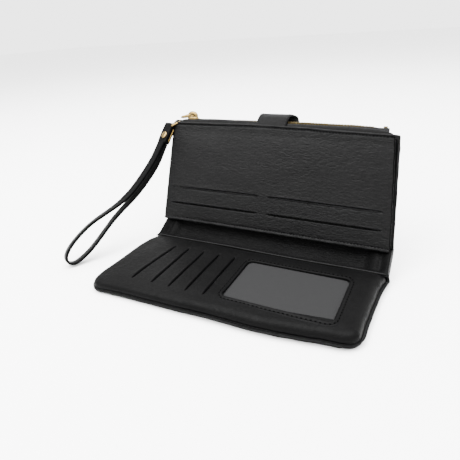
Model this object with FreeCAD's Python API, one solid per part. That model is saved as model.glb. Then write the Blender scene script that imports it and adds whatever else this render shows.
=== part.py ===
import FreeCAD, Part

import math
import os

# Long wristlet wallet, standing open on a table.  Millimetres, +Z up.
# X runs along the fold, +Y points away from the user and +Z is up.  The origin is the centre of the
# lower half's flat underside.  The cover is one wrap: lower half, spine band, upper half.  It bends
# on two fold lines, and at rest the upper half leans back from the flat lower half.

V = FreeCAD.Vector
X, Y, Z = V(1, 0, 0), V(0, 1, 0), V(0, 0, 1)

# ---- driving dimensions -------------------------------------------------------------------------
FOLD_WIDTH = 204.0          # width of both halves at the fold
FRONT_WIDTH = 203.0         # width of the lower half at its free edge
TOP_WIDTH = 199.0           # width of the upper half at its free edge
HALF_DEPTH = 92.0           # fold line to free edge, lower half
LEATHER = 1.4               # cover leather
BOARD, LINING = 0.8, 0.4    # stiffener board and lining in the lower half
SPINE = 22.0                # distance between the two fold lines
OPEN_ANGLE = 66.55          # the upper half's lean above the table plane
LOWER_HEIGHT = 11.0         # underside to card panel face
UPPER_HEIGHT = 10.0         # cover leather's middle to leaf face
GAP = 0.05                  # air left between stacked layers
FOLD_GAP = 0.1              # air left round a rounded fold end

HALF_LEATHER = LEATHER / 2
FOLD_CLEAR = HALF_LEATHER + FOLD_GAP
REAR = HALF_DEPTH / 2       # fold line of the lower half, in Y
FRONT = -HALF_DEPTH / 2

RIM_HEIGHT = 4.0            # turned edge of the lower cover
RIM_WALL = 1.6
CORNER = 12.0               # plan radius of the free corners
PANEL_REAR = 38.9           # back edge of the card panel
PANEL_SKIN = 1.2
PANEL_ROLL = 4.5            # rounding of the panel's padded edge
PANEL_INSET = 0.5           # panel edge inside the cover's outline
FILLER_WIDTH = 8.0          # foam cord along the panel's free edges
FILLER_ROLL = 3.0
PIPING = 1.1                # radius of the piped beads
END_INSET = 3.0             # beads and valley linings stop this far from the fold's ends

STUD_RADIUS = 5.0
STUD_Y = FRONT + 18.0       # the press stud sits this far in from the free edge

LOWER_SLOTS = [-72.5, -57.5, -42.8, -28.1, -13.4]     # X of each card slot, back to front lines
SLOT_Y = (-31.3, 23.5)
SLOT_GAP = 0.9
SHEET = 0.35                # thickness of a pocket's lining sheet
POCKET_PITCH = 0.95         # from one pocket sheet to the next
CARD_REACH = 86.0           # a card slides this far in from its slot
WINDOW = (-0.8, 80.2, -28.0, 23.5)                    # x0, x1, y0, y1
WINDOW_CORNER = 4.0
BINDING, BINDING_RISE = 3.6, 0.5                      # width and height of the binding round the window

LEAF_BOTTOM, LEAF_TOP = 5.7, 92.3
LEAF_SKIN = 1.0
LEAF_ROWS = (19.1, 33.8)    # height of the two slot rows above the fold
LEAF_SPANS = ((-97.8, -9.0), (0.5, 93.5))
COVER_TOP = 93.5
POCKET_TOP = 87.5
TOP_PIPING = 0.85           # radius of the leaf's top bead
GUSSET = 1.2

ZIP_LEFT, ZIP_RIGHT = -95.5, 88.5
ZIP_FOOT, ZIP_TOP = 88.0, 96.8
TEETH_FOOT, CHAIN_TOP = 97.35, 98.6
CHAIN_MID = 4.2             # depth of the chain's centre above the cover leather's middle
HALF_CHAIN = 1.5            # half the width of the two rows of teeth
TAPE, FACING = 0.4, 1.05    # thickness of the woven tape and of the leather facing
TOOTH, TOOTH_PITCH = 1.1, 2.4
TEETH = 72
SLIDER_X = -85.0
BAIL_TOP = 103.5
PULLER_PIN = 101.75
PULLER_DROP = 8.5           # degrees that the puller slopes down at rest

TAB_WIDTH, TAB_CENTRE = 28.0, -2.0
TAB_SKIN = 1.4
TAB_HINGE = (98.0, -1.45)   # height and depth of the closure tab's bending line
TAB_SEWN = 70.0             # height of the sewn end's lower edge
TAB_ARCH_TOP = 105.3
TAB_FRONT = 8.9             # depth of the tab's front face
TAB_END = 94.4              # how far down its free end reaches
TAB_STUD = (98.0, 2.6)      # height and radius of the press stud in the tab

STRAP_WIDTH, STRAP_THICK = 8.4, 2.4
STRAP_DOWN = V(-0.294, -0.742, -0.602)                # the way the strap runs from its ring
STRAP_ACROSS = V(-0.811, 0.527, -0.254)              # the way its width lies
RING_ARM = V(-0.503, -0.823, -0.262)                  # from the ring's bar to its far side
RING_SPAN = 9.0
RING_HALF = 5.8
RING_CORNER = 1.5
RING_WIRE = 1.0
RING_BAR = (-103.6, 95.5, 3.0)                        # x, height and depth on the upper half
KEEPER_TURN = -12.0         # degrees that the keeper turns from the strap's line
KEEPER_LONG, KEEPER_HALF = 20.0, 3.1
RIVET_AT = 11.0
STRAND = 1.8                # each strand of the strap leaves the keeper this far from its middle
# Middle line of the strap in its own plane: distance down the strap, and height across its loop.
STRAP_ROUTE = [(36, -5.0), (57, -4.6), (80, -1.7), (101, 2.4), (123, 7.4), (142, 8.9), (153.5, 6.0),
               (158, -1.0), (152, -7.6), (138, -9.2), (117, -7.8), (96, -8.9), (77, -10.9),
               (57, -9.3), (38, -8.7)]

# ---- frames -------------------------------------------------------------------------------------
SPINE_LEAN = OPEN_ANGLE / 2
AXIS_A = V(0, REAR, HALF_LEATHER)
spine_frame = FreeCAD.Placement(AXIS_A, FreeCAD.Rotation(X, SPINE_LEAN))
AXIS_B = spine_frame.multVec(V(0, SPINE, 0))
upper_frame = FreeCAD.Placement(AXIS_B, FreeCAD.Rotation(X, OPEN_ANGLE))

zip_frame = upper_frame * FreeCAD.Placement(V(0, 0, CHAIN_MID), FreeCAD.Rotation(X, -90))

ring_bar = upper_frame.multVec(V(*RING_BAR))
across = V(STRAP_ACROSS).normalize()
arm = (RING_ARM - across * RING_ARM.dot(across)).normalize()
ring_frame = FreeCAD.Placement(ring_bar, FreeCAD.Rotation(arm, across.cross(arm), across, "ZXY"))
STRAP_HINGE = ring_bar + arm * RING_SPAN
down = (STRAP_DOWN - across * STRAP_DOWN.dot(across)).normalize()
strap_frame = FreeCAD.Placement(STRAP_HINGE, FreeCAD.Rotation(down, across.cross(down), across, "ZXY"))
keeper_frame = strap_frame * FreeCAD.Placement(V(0, 0, 0), FreeCAD.Rotation(Z, KEEPER_TURN))


# ---- helpers ------------------------------------------------------------------------------------
def save(name, shape, frame=None):
    """Writes one named piece, moved from its own frame into the wallet's."""
    shape = shape.copy()
    if frame is not None:
        shape.transformShape(frame.toMatrix(), True)
    shape.exportStep(f"parts/{name}.step")


def corner_arc(before, corner, after, radius):
    """The start, middle and end of the arc that rounds a corner."""
    back, ahead = (before - corner).normalize(), (after - corner).normalize()
    half = back.getAngle(ahead) / 2
    reach = radius / math.tan(half)
    centre = corner + (back + ahead).normalize() * (radius / math.sin(half))
    middle = centre + (corner - centre).normalize() * radius
    return corner + back * reach, middle, corner + ahead * reach


def rounded_wire(corners, closed=True):
    """A wire of straight runs joined by tangent arcs, through (point, radius) corners."""
    count = len(corners)
    runs, arcs = [], []
    for i, (point, radius) in enumerate(corners):
        inner = closed or 0 < i < count - 1
        if inner and radius > 0:
            before, after = corners[i - 1][0], corners[(i + 1) % count][0]
            start, middle, end = corner_arc(before, point, after, radius)
            arcs.append((start, middle, end))
        else:
            arcs.append((point, None, point))
    for i, (start, middle, end) in enumerate(arcs):
        if middle is not None:
            runs.append(Part.Arc(start, middle, end).toShape())
        if i + 1 < count or closed:
            nearest = arcs[(i + 1) % count][0]
            if (nearest - end).Length > 1e-6:
                runs.append(Part.LineSegment(end, nearest).toShape())
    return Part.Wire(runs)


def slab(corners, z0, z1):
    """A plate of a rounded outline in X and Y, from z0 to z1."""
    face = Part.Face(rounded_wire([(V(x, y, z0), r) for x, y, r in corners]))
    return face.extrude(V(0, 0, z1 - z0))


def rectangle(x0, x1, y0, y1, radius=0.0):
    return [(x0, y0, radius), (x1, y0, radius), (x1, y1, radius), (x0, y1, radius)]


def plate(x0, x1, y0, y1, z0, z1, radius=0.0):
    return slab(rectangle(x0, x1, y0, y1, radius), z0, z1)


def profile(points, x0, x1):
    """A section in Y and Z, drawn along X."""
    face = Part.Face(Part.makePolygon([V(x0, y, z) for y, z in points + points[:1]]))
    return face.extrude(V(x1 - x0, 0, 0))


def rod(centre, radius, x0, x1):
    """A round rod along X, at a (y, z) centre."""
    return Part.makeCylinder(radius, x1 - x0, V(x0, *centre), X)


def lower_outline(inset, rear):
    """The lower half's outline, pulled in by inset, as far back as rear."""
    side, front = FOLD_WIDTH / 2 - inset, FRONT_WIDTH / 2 - inset
    radius = CORNER - inset
    near = FRONT + inset
    return [(-front, near, radius), (front, near, radius), (side, rear, 1.5), (-side, rear, 1.5)]


def upper_outline(inset, foot, top, radius=8.0):
    """The upper half's outline in its own frame, pulled in at the sides by inset."""
    slope = (FOLD_WIDTH - TOP_WIDTH) / 2 / COVER_TOP
    low, high = FOLD_WIDTH / 2 - slope * foot - inset, FOLD_WIDTH / 2 - slope * top - inset
    return [(-low, foot, 1.5), (low, foot, 1.5), (high, top, radius), (-high, top, radius)]


def panel_solid(inset, z0, z1, roll):
    """A padded block with its free top edges rolled over."""
    block = slab(lower_outline(inset, PANEL_REAR - inset), z0, z1)
    rear = PANEL_REAR - inset - 1.6
    rolled = [edge for edge in block.Edges
              if abs(edge.CenterOfMass.z - z1) < 1e-3 and edge.CenterOfMass.y < rear]
    return block.makeFillet(roll, rolled)


# ---- lower half ---------------------------------------------------------------------------------
def lower_cover():
    """Cover leather of the lower half, with its edge turned up on three sides."""
    tray = slab(lower_outline(0, REAR - FOLD_CLEAR), 0, LEATHER)
    rim = slab(lower_outline(0, PANEL_REAR), LEATHER, RIM_HEIGHT)
    hollow = slab(lower_outline(RIM_WALL, PANEL_REAR + 1), LEATHER, RIM_HEIGHT)
    stud = Part.makeCylinder(STUD_RADIUS + GAP, LEATHER, V(TAB_CENTRE, STUD_Y, 0))
    return tray.fuse(rim.cut(hollow)).removeSplitter().cut(stud)


def lower_layers():
    """Stiffener board and lining sheet on the lower cover, inside its turned edge."""
    inset = RIM_WALL + 0.4
    z = LEATHER + GAP
    for name, thick in (("lower_board", BOARD), ("lower_lining", LINING)):
        save(name, slab(lower_outline(inset, PANEL_REAR), z, z + thick))
        z += thick + GAP


def card_panel():
    """Padded panel with five card slots and a cut-out for the window."""
    base = RIM_HEIGHT + 0.1
    outer = panel_solid(PANEL_INSET, base, LOWER_HEIGHT, PANEL_ROLL)
    inner = panel_solid(PANEL_INSET + PANEL_SKIN, base - 1, LOWER_HEIGHT - PANEL_SKIN, PANEL_ROLL - PANEL_SKIN)
    panel = outer.cut(inner)
    for x in LOWER_SLOTS:
        slot = plate(x - SLOT_GAP / 2, x + SLOT_GAP / 2, *SLOT_Y, LOWER_HEIGHT - 3, LOWER_HEIGHT + 1)
        panel = panel.cut(slot)
    return panel.cut(plate(*WINDOW, LOWER_HEIGHT - 3, LOWER_HEIGHT + 1, WINDOW_CORNER))


def edge_filler():
    """Foam cord that plumps the panel's front and side edges."""
    z0, z1 = RIM_HEIGHT + 0.3, LOWER_HEIGHT - PANEL_SKIN - 0.1
    outer = panel_solid(PANEL_INSET + PANEL_SKIN + 0.2, z0, z1, FILLER_ROLL)
    side = FRONT_WIDTH / 2 - PANEL_INSET - PANEL_SKIN - FILLER_WIDTH
    core = plate(-side, side, FRONT + FILLER_WIDTH, REAR, z0 - 1, z1 + 1)
    return outer.cut(core)


def card_pockets():
    """A lining sheet under each slot: the card slides in above its own sheet."""
    z = RIM_HEIGHT + 0.5
    for number, x in enumerate(LOWER_SLOTS, 1):
        sheet = plate(x - 2, x + CARD_REACH, SLOT_Y[0] - 3, SLOT_Y[1] + 3, z, z + SHEET, 2)
        save(f"lower_card_pocket_{number}", sheet)
        z += POCKET_PITCH


def window():
    """Clear film and its backing sheet under the panel, and the raised binding on top."""
    x0, x1, y0, y1 = WINDOW
    top = LOWER_HEIGHT - PANEL_SKIN
    hidden = (x0 - 3, x1 + 3, y0 - 3, y1 + 3)
    save("window_film", plate(*hidden, top - 0.3, top - GAP, 5))
    save("window_pocket_back", plate(*hidden, top - 0.7, top - 0.45, 5))
    outside = (x0 - BINDING, x1 + BINDING, y0 - BINDING, y1 + BINDING)
    ring = plate(*outside, 0, BINDING_RISE, WINDOW_CORNER + BINDING)
    ring = ring.cut(plate(x0, x1, y0, y1, -1, BINDING_RISE + 1, WINDOW_CORNER))
    ring.translate(V(0, 0, LOWER_HEIGHT))
    save("window_binding", ring)


def lower_half():
    """The flat half with the card panel and the window, whose underside is the table face."""
    save("lower_cover", lower_cover())
    lower_layers()
    save("card_panel", card_panel())
    save("edge_filler", edge_filler())
    card_pockets()
    window()
    side = FOLD_WIDTH / 2 - END_INSET
    save("panel_piping", rod((PANEL_REAR + PIPING + GAP, LOWER_HEIGHT - PIPING), PIPING, -side, side))
    lining = [(41.6, 8.3), (42.4, 8.3), (44.1, 2.3), (44.1, 1.5), (41.2, 1.5)]
    save("valley_lining_lower", profile(lining, -side, side))
    save("cover_press_stud", Part.makeCylinder(STUD_RADIUS, LEATHER - GAP, V(TAB_CENTRE, STUD_Y, GAP)))


# ---- spine --------------------------------------------------------------------------------------
def spine():
    """The band between the two fold lines: round ends turn on the fold axes."""
    side = FOLD_WIDTH / 2
    band = plate(-side, side, 0, SPINE, -HALF_LEATHER, HALF_LEATHER)
    for y in (0, SPINE):
        band = band.fuse(rod((y, 0), HALF_LEATHER, -side, side))
    save("spine_cover", band.removeSplitter(), spine_frame)
    board, lining = HALF_LEATHER + GAP, HALF_LEATHER + GAP + 0.55
    save("spine_board", plate(4 - side, side - 4, 3.5, SPINE - 3.5, board, board + 0.5), spine_frame)
    save("spine_lining", plate(1.5 - side, side - 1.5, 2.8, SPINE - 2.8, lining, lining + 0.8), spine_frame)


# ---- upper half ---------------------------------------------------------------------------------
def leaf_panel():
    """Leaf with two rows of two card slots, facing the lower half."""
    leaf = slab(upper_outline(0.5, LEAF_BOTTOM, LEAF_TOP, 5.0), UPPER_HEIGHT - LEAF_SKIN, UPPER_HEIGHT)
    for height in LEAF_ROWS:
        for x0, x1 in LEAF_SPANS:
            low, high = height - SLOT_GAP / 2, height + SLOT_GAP / 2
            leaf = leaf.cut(plate(x0, x1, low, high, UPPER_HEIGHT - 2, UPPER_HEIGHT + 1))
    return leaf


def leaf_pockets():
    """Lining sheets behind the leaf: cards slide up behind the leaf from each slot."""
    for row, (height, top, z) in enumerate(((LEAF_ROWS[0], 76.0, 7.3), (LEAF_ROWS[1], 88.0, 8.2)), 1):
        for side, (x0, x1) in zip(("left", "right"), LEAF_SPANS):
            sheet = plate(x0 + 1, x1 - 1, height - 2, top, z, z + 0.3, 2)
            save(f"leaf_card_pocket_{side}_{row}", sheet, upper_frame)


def coin_pocket():
    """Lining bag under the zip, open at the top between the two tapes."""
    bag = plate(ZIP_LEFT, ZIP_RIGHT, 8, POCKET_TOP, 2.0, 6.4, 2)
    return bag.cut(plate(ZIP_LEFT + 0.4, ZIP_RIGHT - 0.4, 8.4, POCKET_TOP + 1, 2.4, 6.0, 2))


def zip_strip():
    """Leather facings, woven tapes and the two rows of teeth, closed."""
    for name, sign in (("back", -1), ("front", 1)):
        near, far = CHAIN_MID + sign * HALF_CHAIN, CHAIN_MID + sign * (HALF_CHAIN + TAPE)
        tape = plate(ZIP_LEFT, ZIP_RIGHT, ZIP_FOOT, TEETH_FOOT - GAP, min(near, far), max(near, far))
        save(f"zip_tape_{name}", tape, upper_frame)
        near, far = far + sign * GAP, far + sign * (GAP + FACING)
        facing = plate(ZIP_LEFT, ZIP_RIGHT, ZIP_FOOT, ZIP_TOP, min(near, far), max(near, far))
        save(f"zip_facing_{name}", facing, upper_frame)
        teeth = []
        for i in range(TEETH):
            x = ZIP_LEFT + 5 + TOOTH_PITCH * (i + (0.5 if sign > 0 else 0))
            z0, z1 = sorted((CHAIN_MID + sign * HALF_CHAIN, CHAIN_MID - sign * 0.35))
            teeth.append(plate(x, x + TOOTH, TEETH_FOOT, CHAIN_TOP, z0, z1))
        save(f"zip_teeth_{name}", Part.makeCompound(teeth), upper_frame)
    stop = plate(ZIP_RIGHT - 4.5, ZIP_RIGHT - 1.5, TEETH_FOOT, CHAIN_TOP, CHAIN_MID - HALF_CHAIN,
                 CHAIN_MID + HALF_CHAIN)
    save("zip_bottom_stop", stop, upper_frame)


def leaf_trim():
    """Piped beads along the leaf's bottom and top edges, and the lining behind the bottom one."""
    side, top_side = FOLD_WIDTH / 2 - END_INSET, TOP_WIDTH / 2 - 2 * END_INSET
    bottom = rod((LEAF_BOTTOM - PIPING - GAP, UPPER_HEIGHT - PIPING + 0.1), PIPING, -side, side)
    save("leaf_piping_bottom", bottom, upper_frame)
    top = rod((LEAF_TOP + TOP_PIPING + GAP, UPPER_HEIGHT - 0.1), TOP_PIPING, -top_side, top_side)
    save("leaf_piping_top", top, upper_frame)
    lining = [(4.3, 7.7), (3.6, 7.7), (2.2, 2.0), (2.2, 1.75), (4.6, 1.75)]
    save("valley_lining_upper", profile(lining, -side, side), upper_frame)


def side_gussets():
    """The thin walls that close the upper half's two sides."""
    outer = FOLD_WIDTH / 2 - 2.9
    for name, x0 in (("left", -outer), ("right", outer - GUSSET)):
        wall = plate(x0, x0 + GUSSET, 7, POCKET_TOP - 1, 1.8, UPPER_HEIGHT - LEAF_SKIN - GAP)
        save(f"side_gusset_{name}", wall, upper_frame)


def upper_half():
    """The raised half: cover, coin pocket with its zip, leaf and the fixed ends of the tab and ring."""
    cover = slab(upper_outline(0, FOLD_CLEAR, COVER_TOP), -HALF_LEATHER, HALF_LEATHER)
    save("upper_cover", cover, upper_frame)
    z = HALF_LEATHER + GAP
    save("upper_board", slab(upper_outline(4, 4, 85, 4), z, z + 0.5), upper_frame)
    save("upper_lining", slab(upper_outline(1.5, 3, 87, 4), z + 0.55, z + 0.95), upper_frame)
    save("leaf_panel", leaf_panel(), upper_frame)
    leaf_pockets()
    save("coin_pocket", coin_pocket(), upper_frame)
    zip_strip()
    leaf_trim()
    side_gussets()
    save("closure_tab_base", closure_tab_base(), upper_frame)
    save("ring_tab", ring_tab())


# ---- zip slider and puller ----------------------------------------------------------------------
def zip_slider():
    """Slider body that rides over the chain, with the bail that holds the puller."""
    base = CHAIN_TOP + 0.15
    x0, x1 = SLIDER_X - 4.5, SLIDER_X + 6
    body = plate(x0, x1, -3, 3, base, base + 1.4, 2)
    channel = plate(x0, x1, -3, 3, ZIP_TOP + 0.2, base)
    clear = plate(x0 - 1, x1 + 1, -2, 2, 0, base)
    body = body.fuse(channel.cut(clear))
    bail = plate(SLIDER_X - 4.5, SLIDER_X + 4.5, -0.7, 0.7, base + 1.4, BAIL_TOP)
    eye = plate(SLIDER_X - 3, SLIDER_X + 3, -1, 1, base + 1.6, BAIL_TOP - 1.1)
    return body.fuse(bail.cut(eye)).removeSplitter()


def zip_puller():
    """Pin through the bail, two arms beside it and a tapered pull."""
    pin = Part.makeCylinder(0.6, 4.4, V(0, 0, -2.2), Z)
    arms = [plate(-6.5, 0.6, -0.55, 0.55, z, z + 1.1) for z in (-2.2, 1.1)]
    pull = slab([(-5.4, -0.55, 0), (-5.4, 0.55, 0), (-16, 0.55, 0.5), (-16, -0.55, 0.5)], -2.2, 2.2)
    puller = pin.fuse(arms).fuse(pull).removeSplitter()
    place = FreeCAD.Placement(V(SLIDER_X, PULLER_PIN, CHAIN_MID), FreeCAD.Rotation(Z, PULLER_DROP))
    puller.transformShape(place.toMatrix(), True)
    return puller


# ---- closure tab --------------------------------------------------------------------------------
def closure_tab_base():
    """Sewn end of the closure tab, on the outside of the upper cover."""
    x0, x1 = TAB_CENTRE - TAB_WIDTH / 2, TAB_CENTRE + TAB_WIDTH / 2
    top = TAB_HINGE[0] - TAB_SKIN / 2 - 3 * FOLD_GAP
    return plate(x0, x1, TAB_SEWN, top, TAB_HINGE[1] - TAB_SKIN / 2, -HALF_LEATHER - GAP)


def tab_section(outer, inner):
    """The tab's arch between two offsets of its skin, in the upper half's height and depth."""
    foot, back = TAB_HINGE
    back_out, front_out = back - TAB_SKIN / 2 + outer, TAB_FRONT - outer
    back_in, front_in = back - TAB_SKIN / 2 + inner, TAB_FRONT - inner
    x0 = TAB_CENTRE - TAB_WIDTH / 2

    def arch(depth0, depth1, top, radius):
        points = [(V(x0, foot, depth0), 0), (V(x0, top, depth0), radius), (V(x0, top, depth1), radius),
                  (V(x0, TAB_END, depth1), 0)]
        return rounded_wire(points, closed=False)

    outside = arch(back_out, front_out, TAB_ARCH_TOP - outer, 4.2 - outer)
    inside = arch(back_in, front_in, TAB_ARCH_TOP - inner, 4.2 - inner)
    ends = [Part.LineSegment(V(x0, foot, back_out), V(x0, foot, back_in)).toShape(),
            Part.LineSegment(V(x0, TAB_END, front_out), V(x0, TAB_END, front_in)).toShape()]
    loop = Part.Wire(Part.__sortEdges__(outside.Edges + inside.Edges + ends))
    return Part.Face(loop).extrude(V(TAB_WIDTH, 0, 0))


def closure_tab():
    """Outer leather, inner lining and the press stud's half, all in one moving tab."""
    x0 = TAB_CENTRE - TAB_WIDTH / 2
    pin = Part.makeCylinder(TAB_SKIN / 2, TAB_WIDTH, V(x0, *TAB_HINGE), X)
    outer = tab_section(0, 0.8).fuse(pin).removeSplitter()
    save("closure_tab", outer, upper_frame)
    clearance = Part.makeCylinder(TAB_SKIN / 2 + GAP, TAB_WIDTH, V(x0, *TAB_HINGE), X)
    lining = tab_section(0.85, TAB_SKIN).cut(clearance)
    z = TAB_FRONT - TAB_SKIN
    height, radius = TAB_STUD
    socket = Part.makeCylinder(radius + GAP, TAB_SKIN, V(TAB_CENTRE, height, z - 0.2), Z)
    save("closure_tab_lining", lining.cut(socket), upper_frame)
    save("tab_press_stud", Part.makeCylinder(radius, 0.5, V(TAB_CENTRE, height, z), Z), upper_frame)


# ---- strap hardware and strap -------------------------------------------------------------------
def ring_tab():
    """Leather loop that closes the zip's end and holds the ring's bar."""
    block = plate(-100.5, ZIP_LEFT - 0.1, 90, ZIP_TOP, 1.6, 4.6)
    block.transformShape(upper_frame.toMatrix(), True)
    eye = Part.makeCylinder(2.5, 5.0, V(0, 0, -2.5), Z)
    eye.transformShape(ring_frame.toMatrix(), True)
    bore = Part.makeCylinder(RING_WIRE + 0.1, 30, V(0, 0, -15), Z)
    bore.transformShape(ring_frame.toMatrix(), True)
    return block.fuse(eye).removeSplitter().cut(bore)


def strap_ring():
    """Closed wire ring: a straight bar in the tab and a far side for the strap."""
    corners = [(V(x, 0, z), RING_CORNER) for x, z in ((0, -RING_HALF), (0, RING_HALF),
                                                      (RING_SPAN, RING_HALF), (RING_SPAN, -RING_HALF))]
    path = rounded_wire(corners)
    first = path.Edges[0]
    start, way = first.valueAt(first.FirstParameter), first.tangentAt(first.FirstParameter)
    section = Part.Wire(Part.makeCircle(RING_WIRE, start, way))
    return path.makePipeShell([section], True, False)


def keeper():
    """Folded strap end round the ring, with its plate and rivet."""
    half = STRAP_WIDTH / 2
    body = plate(0, KEEPER_LONG, -KEEPER_HALF, KEEPER_HALF, -half, half)
    body = body.fuse(Part.makeCylinder(KEEPER_HALF, STRAP_WIDTH, V(0, 0, -half), Z)).removeSplitter()
    body = body.cut(Part.makeCylinder(RING_WIRE + 0.1, STRAP_WIDTH, V(0, 0, -half), Z))
    shank_hole = Part.makeCylinder(1.05, 20, V(RIVET_AT, -10, 0), Y)
    save("strap_keeper", body.cut(shank_hole), keeper_frame)
    low = -KEEPER_HALF - GAP
    back = plate(3.0, 18.0, low - 1.6, low, -half + 0.2, half - 0.2).cut(shank_hole)
    save("keeper_plate", back, keeper_frame)
    shank = Part.makeCylinder(1.0, 2 * KEEPER_HALF + 1.7 + GAP, V(RIVET_AT, low - 1.6, 0), Y)
    cap = Part.makeCylinder(3.4, 1.0, V(RIVET_AT, KEEPER_HALF + GAP, 0), Y)
    save("keeper_rivet", shank.fuse(cap).removeSplitter(), keeper_frame)


def strap_points():
    """The strap's middle line: out of the keeper, round the loop and back into the keeper."""
    ends = []
    for side in (STRAND, -STRAND):
        end = keeper_frame.multVec(V(KEEPER_LONG - 1, side, 0))
        ends.append(strap_frame.inverse().multVec(end))
    return [ends[0]] + [V(s, e, 0) for s, e in STRAP_ROUTE] + [ends[1]]


def strap_radii(points):
    """Each arc is as large as its two runs allow."""
    radii = []
    for before, point, after in zip(points, points[1:], points[2:]):
        turn = (point - before).getAngle(after - point)
        shorter = min((point - before).Length, (after - point).Length)
        radii.append(0.45 * shorter / math.tan(turn / 2))
    return radii


def wrist_strap():
    """Flat strap along the middle line, trimmed where it meets the keeper's end."""
    points = strap_points()
    radii = strap_radii(points)
    print("strap radii, mm:", [round(r, 1) for r in radii])
    middle = rounded_wire(list(zip(points, [0] + radii + [0])), closed=False)
    face_way = Z.cross((points[1] - points[0]).normalize()) * (STRAP_THICK / 2)
    edge_way = Z * (STRAP_WIDTH / 2)
    signs = ((-1, -1), (1, -1), (1, 1), (-1, 1), (-1, -1))
    section = Part.makePolygon([points[0] + face_way * f + edge_way * e for f, e in signs])
    strap = middle.makePipeShell([section], True, False)
    print("strap length, mm:", round(middle.Length, 1), "volume over section times length:",
          round(strap.Volume / (middle.Length * STRAP_WIDTH * STRAP_THICK), 4))
    strap.transformShape(strap_frame.toMatrix(), True)
    inside_keeper = plate(-10, KEEPER_LONG, -20, 20, -20, 20)
    inside_keeper.transformShape(keeper_frame.toMatrix(), True)
    strap = strap.cut(inside_keeper)
    print("strap lowest point, mm:", round(strap.BoundBox.ZMin, 2))
    return strap


def strap_parts():
    """The ring, and the strap with its folded and riveted end."""
    save("strap_ring", strap_ring(), ring_frame)
    keeper()
    save("wrist_strap", wrist_strap())


# ---- build --------------------------------------------------------------------------------------
def main():
    os.makedirs("parts", exist_ok=True)
    lower_half()
    spine()
    upper_half()
    save("zip_slider", zip_slider(), zip_frame)
    save("zip_puller", zip_puller(), upper_frame)
    closure_tab()
    strap_parts()
    print("fold A", AXIS_A, "fold B", AXIS_B)
    print("half height way", upper_frame.Rotation.multVec(Y), "half face way", upper_frame.Rotation.multVec(Z))
    print("ring bar", ring_bar, "strap hinge", STRAP_HINGE, "across", across, "down", down)
    print("tab hinge", upper_frame.multVec(V(TAB_CENTRE, *TAB_HINGE)))
    print("puller pin", upper_frame.multVec(V(SLIDER_X, PULLER_PIN, CHAIN_MID)))


main()
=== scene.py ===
import math

import bpy
from mathutils import Matrix, Quaternion, Vector, noise


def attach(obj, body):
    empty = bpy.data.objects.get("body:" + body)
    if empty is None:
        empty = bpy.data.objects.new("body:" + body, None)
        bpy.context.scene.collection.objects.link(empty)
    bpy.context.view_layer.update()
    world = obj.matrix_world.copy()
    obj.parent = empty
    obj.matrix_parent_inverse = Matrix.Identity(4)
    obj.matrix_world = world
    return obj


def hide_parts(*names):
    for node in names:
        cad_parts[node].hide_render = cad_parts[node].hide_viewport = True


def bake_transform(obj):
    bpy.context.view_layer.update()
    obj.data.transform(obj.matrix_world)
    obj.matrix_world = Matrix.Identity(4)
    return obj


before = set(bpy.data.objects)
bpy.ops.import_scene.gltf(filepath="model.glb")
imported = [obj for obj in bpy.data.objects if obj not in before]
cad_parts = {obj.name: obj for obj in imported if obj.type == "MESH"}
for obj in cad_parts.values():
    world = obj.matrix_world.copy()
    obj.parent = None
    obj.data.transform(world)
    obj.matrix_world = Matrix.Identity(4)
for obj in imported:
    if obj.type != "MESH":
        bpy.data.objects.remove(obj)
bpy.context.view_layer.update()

# Long black leather wristlet wallet, standing open.  Shapes are worked out in millimetres in the CAD
# model's frame (X along the fold, Y away from the user, Z up) and written to the scene in metres.

MM = 0.001
X_AXIS, Z_AXIS = Vector((1, 0, 0)), Vector((0, 0, 1))
LOWEST = 0.5                                # turned edges stay this far above the floor

# ---- the wallet's frames ----
FOLD_A, FOLD_B = 46.0, 68.0                 # distance along the cover to each fold line
COVER_MIDDLE = 0.7                          # height of the cover leather's middle
BEND = 6.0                                  # length of leather that curves at each fold
OPEN_ANGLE = math.radians(66.55)
MID_SPINE = (FOLD_A + FOLD_B) / 2
UPPER = Matrix.Translation((0, 64.393, 12.7705)) @ Matrix.Rotation(OPEN_ANGLE, 4, "X")

RING_BAR = Vector((-103.6, 99.645, 101.577))
STRAP_HINGE = Vector((-107.835, 92.034, 99.309))
ACROSS = Vector((-0.811014, 0.527009, -0.254004)).normalized()
DOWN = Vector((-0.293838, -0.742384, -0.602101)).normalized()
STRAP = Matrix.Translation(STRAP_HINGE) @ Matrix((DOWN, ACROSS.cross(DOWN), ACROSS)).transposed().to_4x4()
KEEPER = STRAP @ Matrix.Rotation(math.radians(-14), 4, "Z") @ Matrix.Rotation(math.radians(-27), 4, "X")


# ---- general helpers ----
def ramp(value, low=0.0, high=1.0):
    """0 below low, 1 above high, and smooth between them."""
    t = min(1.0, max(0.0, (value - low) / (high - low)))
    return t * t * (3 - 2 * t)


def table_at(table, value):
    """A smooth curve through (place, amount) pairs."""
    if value <= table[0][0]:
        return table[0][1]
    for (a, low), (b, high) in zip(table, table[1:]):
        if value <= b:
            return low + (high - low) * ramp(value, a, b)
    return table[-1][1]


def wander(x, y, scale, seed):
    """Slow, smooth noise from -1 to 1."""
    return noise.noise(Vector((x / scale, y / scale, seed)))


def lines(low, high, step, *extra):
    """Grid lines from low to high, plus the extra ones, none nearly on top of another."""
    count = max(1, round((high - low) / step))
    wanted = sorted(v for v in extra if low < v < high)
    base = [low + (high - low) * i / count for i in range(count + 1)]
    spaced = [v for v in base if all(abs(v - w) > step * 0.35 for w in wanted) or v in (low, high)]
    merged = []
    for v in sorted(wanted + spaced):
        if not merged or v - merged[-1] > 0.05:
            merged.append(v)
    return merged


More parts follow.
